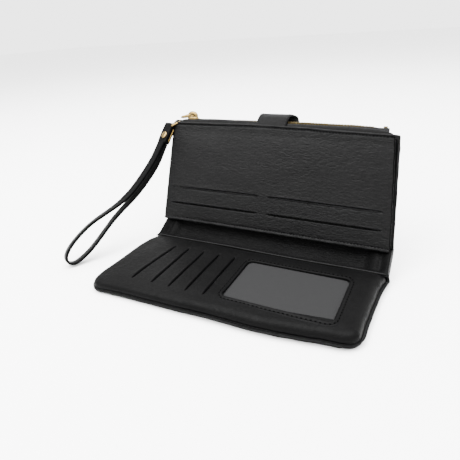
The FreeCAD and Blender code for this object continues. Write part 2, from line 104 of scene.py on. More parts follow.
def new_piece(name, verts, faces, material, slot="black_leather", place=None, levels=0):
    """A smooth mesh piece from millimetre points, placed in the model's frame."""
    place = place or Matrix()
    mesh = bpy.data.meshes.new(name)
    mesh.from_pydata([(place @ Vector(v)) * MM for v in verts], [], faces)
    mesh.update()
    mesh.validate()
    mesh.shade_smooth()
    piece = bpy.data.objects.new(name, mesh)
    bpy.context.scene.collection.objects.link(piece)
    piece.data.materials.append(material)
    if levels:
        smooth = piece.modifiers.new("Smooth", "SUBSURF")
        smooth.levels = smooth.render_levels = levels
    return piece


def grid_faces(rows, columns, keep=lambda i, j: True, closed=False):
    """Faces of a grid of rows by columns of points. A closed grid joins its last column to its first."""
    faces = []
    for i in range(rows - 1):
        for j in range(columns if closed else columns - 1):
            if keep(i, j):
                k = (j + 1) % columns
                faces.append((i * columns + j, i * columns + k,
                              (i + 1) * columns + k, (i + 1) * columns + j))
    return faces


def open_rim(rows, columns):
    """Points of a grid down its left side, along its first row and up its right side."""
    return ([i * columns for i in reversed(range(rows))] + list(range(1, columns - 1))
            + [i * columns + columns - 1 for i in range(rows)])


def closed_rim(rows, columns):
    """Points all round the edge of a grid."""
    return (list(range(columns)) + [i * columns + columns - 1 for i in range(1, rows)]
            + [(rows - 1) * columns + j for j in reversed(range(columns - 1))]
            + [i * columns for i in reversed(range(1, rows - 1))])


def slab(flat, rows, columns, height):
    """A closed sheet: a grid of points, its copy at another height, and the edge between them."""
    count, rim = len(flat), closed_rim(rows, columns)
    faces = grid_faces(rows, columns)
    faces += [tuple(count + v for v in reversed(face)) for face in faces]
    faces += [(b, a, a + count, b + count) for a, b in zip(rim, rim[1:] + rim[:1])]
    return flat + [(u, v, height) for u, v, _ in flat], faces


def turn_edge(verts, faces, rim, steps, closed=False, share=lambda point: (1, 1)):
    """Rings of points that leave a sheet's rim, each so far outward and so far up from it.

    share gives the parts of both that apply at a point of the rim.
    """
    ring, last = rim, len(rim) - 1
    outward = []
    for k in range(len(rim)):
        before = verts[rim[k - 1 if closed else max(k - 1, 0)]]
        after = verts[rim[(k + 1) % len(rim) if closed else min(k + 1, last)]]
        way = (after - before).to_2d().normalized()
        outward.append(Vector((way.y, -way.x, 0)))
    for out, rise in steps:
        fresh = list(range(len(verts), len(verts) + len(rim)))
        for index, normal in zip(rim, outward):
            across, up = share(verts[index])
            point = verts[index] + normal * (out * across)
            verts.append(Vector((point.x, point.y, max(LOWEST, point.z + rise * up))))
        for k in range(len(rim) if closed else last):
            n = (k + 1) % len(rim)
            faces.append((ring[k], ring[n], fresh[n], fresh[k]))
        ring = fresh


def loft(loops, capped=True):
    """Points and faces of a skin over closed loops that all have as many points."""
    count = len(loops[0])
    verts = [point for loop in loops for point in loop]
    faces = grid_faces(len(loops), count, closed=True)
    if capped:
        faces.append(tuple(reversed(range(count))))
        faces.append(tuple(range(len(verts) - count, len(verts))))
    return verts, faces


def circle(count):
    """Angles evenly round a circle."""
    return [math.tau * k / count for k in range(count)]


def spline(points, steps):
    """A smooth curve that starts and ends at the end points and rounds the ones between them."""
    points = [Vector(p) for p in points]
    knots = [points[0]] + points + [points[-1]]
    curve = []
    for a, b, c in zip(knots, knots[1:], knots[2:]):
        start, end = (a + b) / 2, (b + c) / 2
        for i in range(steps):
            t = i / steps
            curve.append(start * (1 - t) ** 2 + b * 2 * t * (1 - t) + end * t * t)
    return curve + [points[-1]]


def tube(path, radius, sides=10, closed=False):
    """A round tube along a path, its radius a number or a list of one for each point."""
    radii = radius if isinstance(radius, list) else [radius] * len(path)
    way = (path[1] - path[0]).normalized()
    side = way.orthogonal().normalized()
    loops = []
    for i, point in enumerate(path):
        ahead = path[(i + 1) % len(path)] if closed or i + 1 < len(path) else point
        behind = path[i - 1] if closed or i > 0 else point
        turn_to = (ahead - behind).normalized()
        side = way.rotation_difference(turn_to) @ side
        way = turn_to
        other = way.cross(side)
        loops.append([point + side * (radii[i] * math.cos(a)) + other * (radii[i] * math.sin(a))
                      for a in circle(sides)])
    if closed:
        loops.append(loops[0])
    return loft(loops, capped=not closed)


def rounded_loop(half_u, half_v, radius, steps=3):
    """Corner-rounded rectangle as (u, v) pairs."""
    loop = []
    for su, sv, start in ((1, 1, 0), (-1, 1, 90), (-1, -1, 180), (1, -1, 270)):
        for k in range(steps + 1):
            angle = math.radians(start + 90 * k / steps)
            loop.append((su * (half_u - radius) + radius * math.cos(angle),
                         sv * (half_v - radius) + radius * math.sin(angle)))
    return loop


def soft_block(size, radius, bulge=0.0):
    """A block with rounded edges and slightly swollen sides, about its own centre."""
    hx, hy, hz = (s / 2 for s in size)
    loops = []
    for z, inset in ((-hz, radius), (-hz + radius * 0.3, radius * 0.3), (-hz + radius, 0.0), (0.0, -bulge),
                     (hz - radius, 0.0), (hz - radius * 0.3, radius * 0.3), (hz, radius)):
        u, v = hx - inset, hy - inset
        loops.append([(a, b, z) for a, b in rounded_loop(u, v, min(radius, u, v))])
    return loft(loops)


def along(path):
    """Distance along a path at each of its points."""
    total, marks_and_painted_reflections = 0.0, [0.0]
    for a, b in zip(path, path[1:]):
        total += (b - a).length
        marks_and_painted_reflections.append(total)
    return marks_and_painted_reflections


def moved(skin, x, y, z):
    """The same points and faces, somewhere else."""
    return [(x + a, y + b, z + c) for a, b, c in skin[0]], skin[1]


def add_skin(verts, faces, skin):
    """Adds a separate skin's points and faces."""
    faces += [tuple(v + len(verts) for v in face) for face in skin[1]]
    verts += skin[0]


# One stitch: share of its length, share of its radius, and height at each ring.
STITCH = ((-0.5, 0.35, -0.35), (-0.36, 0.9, -0.02), (0.0, 1.0, 0.08), (0.36, 0.9, -0.02), (0.5, 0.35, -0.35))


def stitch_row(path, normals, pitch=3.0, long=2.1, radius=0.3):
    """Points and faces of a row of thread stitches, each sunk at both ends."""
    marks_and_painted_reflections = along(path)
    count = max(1, int(marks_and_painted_reflections[-1] / pitch))
    verts, faces = [], []
    for n in range(count):
        middle = marks_and_painted_reflections[-1] * (n + 0.5) / count
        i = next(k for k in range(1, len(marks_and_painted_reflections)) if marks_and_painted_reflections[k] >= middle)
        share = (middle - marks_and_painted_reflections[i - 1]) / (marks_and_painted_reflections[i] - marks_and_painted_reflections[i - 1])
        centre = path[i - 1].lerp(path[i], share)
        up = normals[i - 1].lerp(normals[i], share).normalized()
        way = (path[i] - path[i - 1]).normalized()
        side = up.cross(way)
        loops = []
        for at, thick, lift in STITCH:
            loops.append([centre + way * (at * long) + side * (radius * thick * math.cos(a))
                          + up * (radius * thick * math.sin(a) + lift) for a in circle(6)])
        add_skin(verts, faces, loft(loops))
    return verts, faces


def stitches(name, rows, body, place=None, thread=None, **sizes):
    """One piece that holds several rows of stitches, each a path and the normals along it."""
    verts, faces = [], []
    for path, normals in rows:
        add_skin(verts, faces, stitch_row(path, normals, **sizes))
    piece = new_piece(name, verts, faces, thread or THREAD, place=place)
    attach(piece, body)
    return piece


TABLE_STEP = 0.25


def cover_table():
    """Where the cover leather's middle runs: (y, z, heading) at every step along it."""
    y, z, table = -FOLD_A, COVER_MIDDLE, []
    for i in range(int((FOLD_B + 96 + FOLD_A) / TABLE_STEP)):
        s = -FOLD_A + i * TABLE_STEP
        turned = sum(min(1.0, max(0.0, (s - fold) / BEND + 0.5)) for fold in (FOLD_A, FOLD_B))
        heading = OPEN_ANGLE / 2 * turned
        table.append((y, z, heading))
        y += TABLE_STEP * math.cos(heading)
        z += TABLE_STEP * math.sin(heading)
    return table


COVER_TABLE = cover_table()


def wrap(x, s, t):
    """The point a distance s along the cover and t above its outer face."""
    at = min(max((s + FOLD_A) / TABLE_STEP, 0.0), len(COVER_TABLE) - 1.001)
    low, share = COVER_TABLE[int(at)], at - int(at)
    high = COVER_TABLE[int(at) + 1]
    y, z, heading = (a + (b - a) * share for a, b in zip(low, high))
    return Vector((x, y - math.sin(heading) * (t - COVER_MIDDLE), z + math.cos(heading) * (t - COVER_MIDDLE)))


# ---- materials ----
def new_material(name):
    """A material, a function that makes its nodes, and one that sets its shader's inputs."""
    material = bpy.data.materials.new(name)
    material.use_nodes = True
    tree = material.node_tree

    def fill(node, inputs):
        for key, value in inputs.items():
            if isinstance(value, bpy.types.NodeSocket):
                tree.links.new(value, node.inputs[key])
            else:
                node.inputs[key].default_value = value

    def make(kind, inputs, output=0, **settings):
        node = tree.nodes.new("ShaderNode" + kind)
        for key, value in settings.items():
            setattr(node, key, value)
        fill(node, inputs)
        return node.outputs[output]

    return material, make, lambda inputs: fill(tree.nodes["Principled BSDF"], inputs)


def leather(name, wrinkle, depth, tilt=0.0, dark=0.0005, light=0.0014, pebble=850, sheen=0.06):
    """Black leather: fine pebbles, stretched wrinkles, slow changes of tone, and pores."""
    material, make, shade = new_material(name)
    place = make("TexCoord", {}, "Object")
    turned = make("Mapping", {"Vector": place, "Rotation": (-tilt, 0, 0)})
    stretched = make("Mapping", {"Vector": turned, "Scale": wrinkle})
    bends = make("TexNoise", {"Vector": stretched, "Scale": 1.0, "Detail": 3.0,
                                        "Distortion": 0.8})
    cells = make("TexVoronoi", {"Vector": turned, "Scale": pebble}, "Distance", feature="SMOOTH_F1")
    fine = make("TexNoise", {"Vector": turned, "Scale": 2400.0, "Detail": 2.0})
    slow = make("TexNoise", {"Vector": turned, "Scale": 38.0, "Detail": 2.0})
    tone = make("MixRGB", {"Fac": slow, "Color1": (dark, dark, dark * 1.02, 1),
                                     "Color2": (light, light, light * 1.03, 1)})
    polish = make("MapRange", {"Value": bends, "From Min": 0.3, "From Max": 0.7,
                                         "To Min": 0.42, "To Max": 0.58})
    pebbles = make("Bump", {"Height": cells, "Strength": 0.35 * depth, "Distance": 0.0004},
                   invert=True)
    pores = make("Bump", {"Height": fine, "Strength": 0.3 * depth, "Distance": 0.0001,
                                    "Normal": pebbles})
    creased = make("Bump", {"Height": bends, "Strength": depth, "Distance": 0.0007,
                                      "Normal": pores})
    shade({"Base Color": tone, "Roughness": polish, "Normal": creased, "Specular IOR Level": sheen})
    return material


def metal(name, colour, rough, wear=0.1):
    """Plated metal: one noise gives faint handling scuffs in its roughness and bump, and also darkens its
    colour in patches as a painted reflection pattern.
    """
    material, make, shade = new_material(name)
    place = make("TexCoord", {}, "Object")
    marks_and_painted_reflections = make("TexNoise", {"Vector": place, "Scale": 900.0, "Detail": 4.0})
    dull = make("MapRange", {"Value": marks_and_painted_reflections, "To Min": rough, "To Max": rough + wear})
    # Colour patches between full and half tone on that noise: painted reflections.
    darker = tuple(c * 0.5 for c in colour) + (1,)
    tone = make("MixRGB", {"Fac": marks_and_painted_reflections, "Color1": colour + (1,), "Color2": darker})
    bump = make("Bump", {"Height": marks_and_painted_reflections, "Strength": 0.08, "Distance": 0.0001})
    shade({"Metallic": 1.0, "Base Color": tone, "Roughness": dull, "Normal": bump})
    return material


def woven(name, colour, pitch=0.0005, sheen=0.2):
    """Plain weave cloth or thread."""
    material, make, shade = new_material(name)
    place = make("TexCoord", {}, "Object")
    heights = []
    for direction in ("X", "Z"):
        heights.append(make("TexWave", {"Vector": place, "Scale": 0.314 / pitch, "Distortion": 0.4}, "Fac",
                            bands_direction=direction))
    both = make("Math", {0: heights[0], 1: heights[1]}, operation="MULTIPLY")
    low = tuple(c * 0.5 for c in colour) + (1,)
    tone = make("MixRGB", {"Fac": both, "Color1": low, "Color2": colour + (1,)})
    bump = make("Bump", {"Height": both, "Strength": 0.5, "Distance": pitch * 0.4})
    shade({"Base Color": tone, "Normal": bump, "Roughness": 0.8, "Specular IOR Level": sheen})
    return material


def film_material():
    """Clear flexible film over a dark lining, with slow waves that also shift its tone, and narrow crease
    lines painted darker and less glossy as painted shade.
    """
    material, make, shade = new_material("window_film")
    place = make("TexCoord", {}, "Object")
    stretched = make("Mapping", {"Vector": place, "Scale": (14, 60, 20),
                                           "Rotation": (0, 0, 0.12)})
    waves = make("TexNoise", {"Vector": stretched, "Scale": 1.0, "Detail": 1.5,
                                        "Distortion": 1.2})
    bump = make("Bump", {"Height": waves, "Strength": 0.35, "Distance": 0.002})
    # Narrow lines along these wave bands get a darker colour and less sheen: painted shade at the film's
    # creases.
    crease = make("TexWave", {"Vector": place, "Scale": 15.0, "Distortion": 5.0, "Detail": 1.0,
                                        "Detail Scale": 0.25}, "Fac", bands_direction="Y")
    crease_shade_mask = make("MapRange", {"Value": crease, "From Min": 0.0, "From Max": 0.05})
    gloss = make("MapRange", {"Value": crease_shade_mask, "To Min": 0.1, "To Max": 0.4})
    tone = make("MixRGB", {"Fac": waves, "Color1": (0.014, 0.0145, 0.016, 1),
                                     "Color2": (0.023, 0.024, 0.026, 1)})
    crease_shaded_tone = make("MixRGB", {"Fac": crease_shade_mask, "Color1": (0.009, 0.0092, 0.01, 1),
                                      "Color2": tone})
    shade({"Base Color": crease_shaded_tone, "Normal": bump, "Specular IOR Level": gloss, "Roughness": 0.22})
    return material


def floor_material():
    """Pale, matt paper."""
    material, make, shade = new_material("pale_floor")
    place = make("TexCoord", {}, "Object")
    grain = make("TexNoise", {"Vector": place, "Scale": 3.0})
    tone = make("MixRGB", {"Fac": grain, "Color1": (0.9, 0.9, 0.9, 1),
                                     "Color2": (0.93, 0.93, 0.93, 1)})
    shade({"Base Color": tone, "Roughness": 0.9, "Specular IOR Level": 0.1})
    return material


LEAF_LEATHER = leather("leaf_leather", (240, 620, 620), 0.95, tilt=OPEN_ANGLE)
PAD_LEATHER = leather("pad_leather", (300, 380, 300), 0.35, sheen=0.028)
COVER_LEATHER = leather("cover_leather", (260, 320, 320), 0.6)
# The valley's leather is the leaf's with less sheen, so the valley reads darker: painted shade under the
# leaf.
SHADED_VALLEY_LEATHER = leather("shaded_valley_leather", (240, 620, 620), 0.7, tilt=OPEN_ANGLE / 2, sheen=0.02)
# A darker copy of the leather with almost no sheen, for the side gussets and the leaf's side edges: painted
# shade.
SHADED_SIDE_LEATHER = leather("shaded_side_leather", (400, 400, 400), 0.3, dark=0.0003, light=0.0006, sheen=0.01)
TRIM_LEATHER = leather("trim_leather", (400, 400, 400), 0.3)
TAB_LEATHER = leather("tab_leather", (400, 400, 400), 0.3, dark=0.001, light=0.0025, sheen=0.07)
STRAP_LEATHER = leather("strap_leather", (420, 420, 420), 0.35, pebble=1000, sheen=0.02)
GOLD = metal("gold_metal", (0.17, 0.115, 0.04), 0.16)
BRASS = metal("antique_brass", (0.055, 0.042, 0.02), 0.34, 0.2)
THREAD = woven("black_thread", (0.008, 0.008, 0.0085), 0.0003)
DARK_THREAD = woven("dark_thread", (0.0004, 0.0004, 0.0004), 0.0003, sheen=0.004)
TAPE = woven("zip_tape", (0.004, 0.004, 0.0044), 0.0006)
LINING = woven("black_lining", (0.003, 0.003, 0.0033), 0.0005)
BOARD = woven("stiffener_board", (0.02, 0.02, 0.02), 0.0009)
FILM = film_material()


# ---- camera, lights and floor ----
def camera():
    data = bpy.data.cameras.new("camera")
    data.lens, data.sensor_width = 31.679, 36.0
    data.clip_start, data.clip_end = 0.01, 50.0
    obj = bpy.data.objects.new("camera", data)
    bpy.context.scene.collection.objects.link(obj)
    azimuth, elevation, roll = (math.radians(v) for v in (27.397, 26.692, -3.946))
    back = Vector((math.sin(azimuth) * math.cos(elevation), -math.cos(azimuth) * math.cos(elevation),
                   math.sin(elevation)))
    right = Vector((math.cos(azimuth), math.sin(azimuth), 0))
    up = back.cross(right)
    axes = (right * math.cos(roll) + up * math.sin(roll), up * math.cos(roll) - right * math.sin(roll), back)
    place = Matrix(axes).transposed().to_4x4()
    place.translation = Vector((117.05, -232.82, 181.17)) * MM
    obj.matrix_world = place
    bpy.context.scene.camera = obj


def area_light(name, place, target, size, power):
    data = bpy.data.lights.new(name, "AREA")
    data.shape, data.size, data.size_y = "RECTANGLE", size[0], size[1]
    data.energy = power
    obj = bpy.data.objects.new(name, data)
    bpy.context.scene.collection.objects.link(obj)
    obj.location = place
    obj.rotation_mode = "QUATERNION"
    obj.rotation_quaternion = (Vector(target) - Vector(place)).to_track_quat("-Z", "Y")


def studio():
    world = bpy.data.worlds.new("studio")
    world.use_nodes = True
    background = world.node_tree.nodes["Background"]
    background.inputs["Color"].default_value = (1, 1, 1, 1)
    background.inputs["Strength"].default_value = 3.6
    bpy.context.scene.world = world
    area_light("key", (-0.5, -0.5, 0.95), (0, 0, 0.03), (0.7, 0.7), 30)
    area_light("fill", (0.9, -0.5, 0.7), (0, 0.05, 0.05), (0.8, 0.8), 6)
    area_light("top", (0.0, 0.15, 1.3), (0, 0.1, 0.0), (1.6, 1.4), 110)
    mesh = bpy.data.meshes.new("floor")
    mesh.from_pydata([(-6, -6, 0), (6, -6, 0), (6, 6, 0), (-6, 6, 0)], [], [(0, 1, 2, 3)])
    floor = bpy.data.objects.new("floor", mesh)
    bpy.context.scene.collection.objects.link(floor)
    floor.data.materials.append(floor_material())


camera()
studio()


# ---- wrist strap ----
STRAP_WIDTH, STRAP_THICK = 8.4, 2.4
# Middle line of the strap in its own plane: distance down the strap, and height across its loop.
STRAP_ROUTE = [(14.6, -1.6), (30, -5.2), (43, -6.9), (57, -7.7), (70, -7.9), (81, -6.9), (92, -4.4),
               (101, -1.4), (110, 1.6), (118, 4.0), (126, 5.3), (134, 6.1), (142, 6.3), (149, 5.5),
               (155, 3.2), (157, -1.6), (154, -5.9), (148, -7.9), (141, -9.3), (132, -10.0), (122, -10.0),
               (112, -9.8), (102, -9.8), (91, -10.7), (80, -12.0), (69, -12.7), (57, -12.8), (43, -12.0),
               (30, -9.8), (14.2, -4.7)]
# How far the strap is turned about its own line, in degrees, at distances along it.
STRAP_TWIST = [(0, 22), (14, 18), (62, 17), (90, 5), (108, 1), (124, 1), (144, 4), (194, 4), (214, 9),
               (234, 17), (280, 18), (295, 22)]


def route_line():
    """The strap's middle line, as a NURBS curve gives it."""
    curve = bpy.data.curves.new("strap_route", "CURVE")
    curve.dimensions = "3D"
    line = curve.splines.new("NURBS")
    line.points.add(len(STRAP_ROUTE) - 1)
    for knot, (s, e) in zip(line.points, STRAP_ROUTE):
        knot.co = (*((STRAP @ Vector((s, e, 0))) * MM), 1)
    line.order_u = 3
    line.use_endpoint_u = True
    line.resolution_u = 10
    holder = bpy.data.objects.new("strap_route", curve)
    bpy.context.scene.collection.objects.link(holder)
    bpy.context.view_layer.update()
    mesh = bpy.data.meshes.new_from_object(holder)
    points = [v.co / MM for v in mesh.vertices]
    bpy.data.objects.remove(holder)
    bpy.data.meshes.remove(mesh)
    return points


def wrist_strap():
    """Flat leather strap with rounded edges, which turns edge-on towards the end of its loop."""
    path = route_line()
    marks_and_painted_reflections = along(path)
    loops = []
    section = rounded_loop(STRAP_THICK / 2, STRAP_WIDTH / 2, 0.7, 2)
    for i, point in enumerate(path):
        way = (path[min(i + 1, len(path) - 1)] - path[max(i - 1, 0)]).normalized()
        turn = math.radians(table_at(STRAP_TWIST, marks_and_painted_reflections[i]))
        edge = ACROSS * math.cos(turn) + ACROSS.cross(DOWN) * math.sin(turn)
        edge = (edge - way * edge.dot(way)).normalized()
        face = edge.cross(way)
        loops.append([point + face * u + edge * v for u, v in section])
    piece = new_piece("strap_band", *loft(loops), STRAP_LEATHER, levels=1)
    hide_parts("wrist_strap")
    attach(piece, "wrist_strap")
    return piece, path, marks_and_painted_reflections[-1]


def keeper():
    """The strap's folded end, round the ring and over both strands."""
    half, width = 3.2, STRAP_WIDTH / 2 + 0.8
    outline = [(17.6, -half + 0.2), (17.9, 0), (17.6, half - 0.2), (16.7, half), (9, half + 0.25), (2, half)]
    turns = [math.radians(degrees) for degrees in range(110, 260, 25)]
    outline += [(half * math.cos(a), half * math.sin(a)) for a in turns]
    outline += [(2, -half), (9, -half - 0.1), (16.7, -half)]
    loops = []
    for z, scale in ((-width, 0.82), (-width + 0.25, 0.93), (-width + 0.9, 1.0), (0, 1.0),
                     (width - 0.9, 1.0), (width - 0.25, 0.93), (width, 0.82)):
        loops.append([(8 + (x - 8) * (0.96 + 0.04 * scale), y * scale, z) for x, y in outline])
    piece = new_piece("keeper_wrap", *loft(loops), STRAP_LEATHER, place=KEEPER, levels=2)
    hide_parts("strap_keeper")
    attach(piece, "wrist_strap")
    return piece


def keeper_hardware():
    """A domed rivet on the outer face, and the narrow plate along the keeper's side."""
    loops = []
    for height, radius in ((2.9, 2.9), (3.3, 3.35), (3.75, 3.4), (4.1, 3.0), (4.28, 1.8), (4.33, 0.6)):
        loops.append([(10.6 + radius * math.cos(a), height, -0.6 - 0.86 * radius * math.sin(a))
                      for a in circle(24)])
    rivet = new_piece("rivet_head", *loft(loops), GOLD, slot="gold_metal", place=KEEPER, levels=1)
    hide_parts("keeper_rivet")
    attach(rivet, "wrist_strap")
    plate = new_piece("keeper_bar", *moved(soft_block((12.6, 1.9, 1.3), 0.4), 9.1, -1.0, -5.3), GOLD,
                      slot="gold_metal", place=KEEPER, levels=1)
    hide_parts("keeper_plate")
    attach(plate, "wrist_strap")
    return rivet, plate


strap, strap_path, strap_length = wrist_strap()
strap_parts = [keeper(), *keeper_hardware()]
[p * MM for p in strap_path]


# ---- panels ----
def slot_effect(off, place, start, end, bow=0.0, gap=0.26):
    """How a card slot moves a point: sideways, and down. off is the distance across from the slot."""
    if not start - 1 <= place <= end + 1:
        return 0.0, 0.0
    t = min(1.0, max(0.0, (place - start) / (end - start)))
    gape = min(1.0, math.sin(math.pi * t) * 2.2)
    near = math.exp(-(off / 3.0) ** 2)
    lip = (0.3 if off < 0 else -0.1) * gape * math.exp(-(off / 1.8) ** 2)
    sink = -2.2 * min(1.0, gape * 3) if abs(off) < 0.35 else 0.0
    shift = math.copysign(gap * gape, off) * near if abs(off) > 0.35 else 0.0
    return shift + bow * math.sin(math.pi * t) * near, lip + sink


SLOT_LINES = (-4.5, -2.4, -1.2, -0.5, -0.3, 0.3, 0.5, 1.2, 2.4, 4.5)
SLOT_ENDS = (-1.0, 0.0, 0.8, 2.5)

LOWER_SLOTS = [-72.5, -57.0, -42.6, -28.1, -13.4]
SLOT_Y = (-32.4, 26.2)
WINDOW = (0.4, 80.2, -28.0, 23.5)
PAD_HALF, PAD_FRONT = 102, -46
PAD_TOP = 10.6
PAD_ROLL = 5.6
# The lower half's outline, in from a rectangle: at places across its front and along its sides.
FRONT_BOW = [(-103, 0.2), (-70, 1.2), (-35, 1.5), (-5, 2.5), (28, 2.0), (45, 2.9), (55, 4.2), (66, 5.4),
             (76, 6.9), (87, 7.4), (97, 8.4), (104, 8.9)]
RIGHT_BOW = [(-46, -4.9), (-20, -4.7), (0, -3.7), (14, -2.5), (23, -1.9), (31, -0.5), (40, 1.0)]
LEFT_BOW = [(-42, 6.5), (-29, 7.2), (-16, 6.4), (-2, 6.1), (8, 5.8), (18, 5.4), (28, 3.9), (38, 1.2)]
COVER_RIGHT = [(40, 102.4), (46, 103.1), (57, 104.6), (68, 104.8), (88, 103.1), (108, 101.5), (128, 99.8),
               (148, 98.2), (162, 97.1)]


def rounded(a, b):
    """A corner's square, both ways 0 to 1, pressed into a quarter circle. Also how deep the point lies."""
    u, v = a * math.sqrt(1 - b * b / 2), b * math.sqrt(1 - a * a / 2)
    return u, v, 1 - math.hypot(u, v)


def plan_point(x, y, half, front, corner):
    """Rounds the two front corners of a rectangle. Returns the place and its distance from a free edge."""
    a, b = (abs(x) - (half - corner)) / corner, ((front + corner) - y) / corner
    if a > 0 and b > 0:
        u, v, deep = rounded(a, b)
        return math.copysign(half - corner + u * corner, x), front + corner - v * corner, corner * deep
    return x, y, min(half - abs(x), y - front)


def wavy_plan(x, y):
    """The lower half's slightly uneven outline."""
    forward = ramp(-y, 5, 46)
    right = table_at(RIGHT_BOW, y) * ramp(x, 62, 102)
    left = table_at(LEFT_BOW, y) * ramp(-x, 42, 102)
    return x + right - left, y + table_at(FRONT_BOW, x) * forward


def pad_height(x, y, d):
    """Height of the padded panel, d from its free edge."""
    top = PAD_TOP + 0.5 * ramp(d, 2, 22) - 0.6 * ramp(d, 14, 40) + 0.45 * wander(x, y, 34, 3.1)
    top += 0.25 * wander(x, y, 13, 8.2) * ramp(d, 0, 12)
    top -= 0.7 * ramp(y, 30, 39)
    if d < PAD_ROLL:
        top -= PAD_ROLL - math.sqrt(max(0.0, PAD_ROLL ** 2 - (PAD_ROLL - d) ** 2))
    return top


def pad():
    """Padded card panel, with its slots sunk in it and its edge rolled under."""
    edge = (0.3, 0.9, 1.8, 3.0, 4.4, 6.2, 9.0)
    xs = lines(-PAD_HALF, PAD_HALF, 3.6, *(s + off for s in LOWER_SLOTS for off in SLOT_LINES),
               *(e - PAD_HALF for e in edge), *(PAD_HALF - e for e in edge), WINDOW[0] - 2, WINDOW[1] + 2)
    ys = lines(PAD_FRONT, 39.2, 3.6, *(SLOT_Y[0] + e for e in SLOT_ENDS), *(SLOT_Y[1] - e for e in SLOT_ENDS),
               *(PAD_FRONT + e for e in edge), WINDOW[2] - 2, WINDOW[3] + 2, 38.7, 37.5)
    verts = []
    for y0 in ys:
        for x0 in xs:
            x, y, d = plan_point(x0, y0, PAD_HALF, PAD_FRONT, 9)
            z = pad_height(x, y, d)
            for s in LOWER_SLOTS:
                if abs(x0 - s) < 7:
                    shift, sink = slot_effect(x0 - s, y0, *SLOT_Y, bow=-0.5, gap=0.38)
                    x, z = x + shift, z + sink
            x += 3.2 * ramp(y0, SLOT_Y[0] + 8, SLOT_Y[1]) * math.exp(-((x0 - LOWER_SLOTS[0]) / 7.5) ** 2)
            x, y = wavy_plan(x, y)
            verts.append(Vector((x, y, z)))

    def solid(i, j):
        return not (WINDOW[2] - 2.01 < (ys[i] + ys[i + 1]) / 2 < WINDOW[3] + 2.01
                    and WINDOW[0] - 2.01 < (xs[j] + xs[j + 1]) / 2 < WINDOW[1] + 2.01)

    faces = grid_faces(len(ys), len(xs), solid)
    turn_edge(verts, faces, open_rim(len(ys), len(xs)),
              ((0.8, -1.2), (0.9, -2.7), (0.0, -4.1), (-2.2, -4.7), (-7.0, -4.8)))
    piece = new_piece("card_pad", verts, faces, PAD_LEATHER, levels=1)
    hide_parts("card_panel", "edge_filler")
    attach(piece, "lower_half")
    return piece


def window_ring():
    """The window's outline, with rounded corners, as (x, y) pairs."""
    x0, x1, y0, y1 = WINDOW
    half_x, half_y = (x1 - x0) / 2, (y1 - y0) / 2
    loop = []
    for u, v in rounded_loop(half_x, half_y, 4.2, 6):
        low, side = 0.5 - v / half_y / 2, 0.5 + u / half_x / 2
        loop.append(((x0 + x1) / 2 + u - low * (0.8 + 0.6 * side),
                     (y0 + y1) / 2 + v + low * (0.9 - 1.1 * side)))
    return loop


def pad_at(x, y):
    """Height of the padded panel at a place on it."""
    return pad_height(x, y, min(PAD_HALF - abs(x), y - PAD_FRONT))


def densify(loop, step=4.0):
    """Adds points to a closed (x, y) loop, so that it can follow a curved surface."""
    dense = []
    for (ax, ay), (bx, by) in zip(loop, loop[1:] + loop[:1]):
        count = max(1, round(math.hypot(bx - ax, by - ay) / step))
        dense += [(ax + (bx - ax) * i / count, ay + (by - ay) * i / count) for i in range(count)]
    return dense


def window():
    """Leather surround rolled into the window's edge, with the film sunk behind it."""
    rows = ((5.0, -0.35), (4.5, 0.06), (3.7, 0.14), (3.3, -0.1), (2.7, -0.1), (2.3, 0.3), (1.4, 0.65),
            (0.7, 0.6), (0.2, 0.2), (0.05, -0.6), (0.0, -2.3))
    base = densify(window_ring())
    loops = [[(x, y, pad_at(x, y) + rise) for x, y in offset_loop(base, out)] for out, rise in rows]
    surround = new_piece("window_surround", *loft(loops, capped=False), PAD_LEATHER, levels=1)
    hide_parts("window_binding")
    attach(surround, "lower_half")
    xs = lines(WINDOW[0] - 1.9, WINDOW[1] + 1.9, 3.0)
    ys = lines(WINDOW[2] - 1.9, WINDOW[3] + 1.9, 3.0)
    verts = [(x, y, 8.95 + 0.28 * wander(x, y * 2.2, 19, 5.5)) for y in ys for x in xs]
    film = new_piece("window_pane", verts, grid_faces(len(ys), len(xs)), FILM, slot="window_film", levels=1)
    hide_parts("window_film")
    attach(film, "lower_half")
    seam = offset_loop(base, 3.0)
    path = [Vector((x, y, pad_at(x, y) + 0.05)) for x, y in seam + seam[:1]]
    stitches("window_stitches", [(path, [Z_AXIS] * len(path))], "lower_half", thread=DARK_THREAD,
             pitch=3.1, long=1.7)


def offset_loop(base, offset):
    """The same points as base, moved out along the loop's own normals."""
    moved = []
    for i, (x, y) in enumerate(base):
        ax, ay = base[i - 1]
        bx, by = base[(i + 1) % len(base)]
        length = math.hypot(bx - ax, by - ay)
        moved.append((x + (by - ay) / length * offset, y - (bx - ax) / length * offset))
    return moved


pad()
window()

LEAF_FACE = 9.4
LEAF_ROWS = (18.8, 33.2)
LEAF_SPANS = ((-95.2, -6.9), (0.5, 94.6))
LEAF_LOW, LEAF_HIGH = 2.6, 93.0
LEAF_HALF = 101
LEAF_TOP = [(-101, 95.4), (-60, 95.6), (-20, 95.9), (17, 95.1), (58, 93.5), (85, 92.7), (94, 92.4)]
LEAF_RIGHT = [(3, 102.2), (25, 100.7), (40, 99.0), (55, 97.7), (74, 95.7), (91, 93.9)]
LEAF_DITCHES = (5.4, 90.5)                  # where the stitch rows run
# Low ridges and ditches across the leaf: amount, height and width.
LEAF_BUMPS = ((-0.7, LEAF_DITCHES[0], 0.5), (-1.3, LEAF_DITCHES[1], 0.6), (-0.4, 85, 3.5), (0.35, 3.9, 0.9),
              (0.2, 92, 0.7))
LEAF_LEFT = -104.4


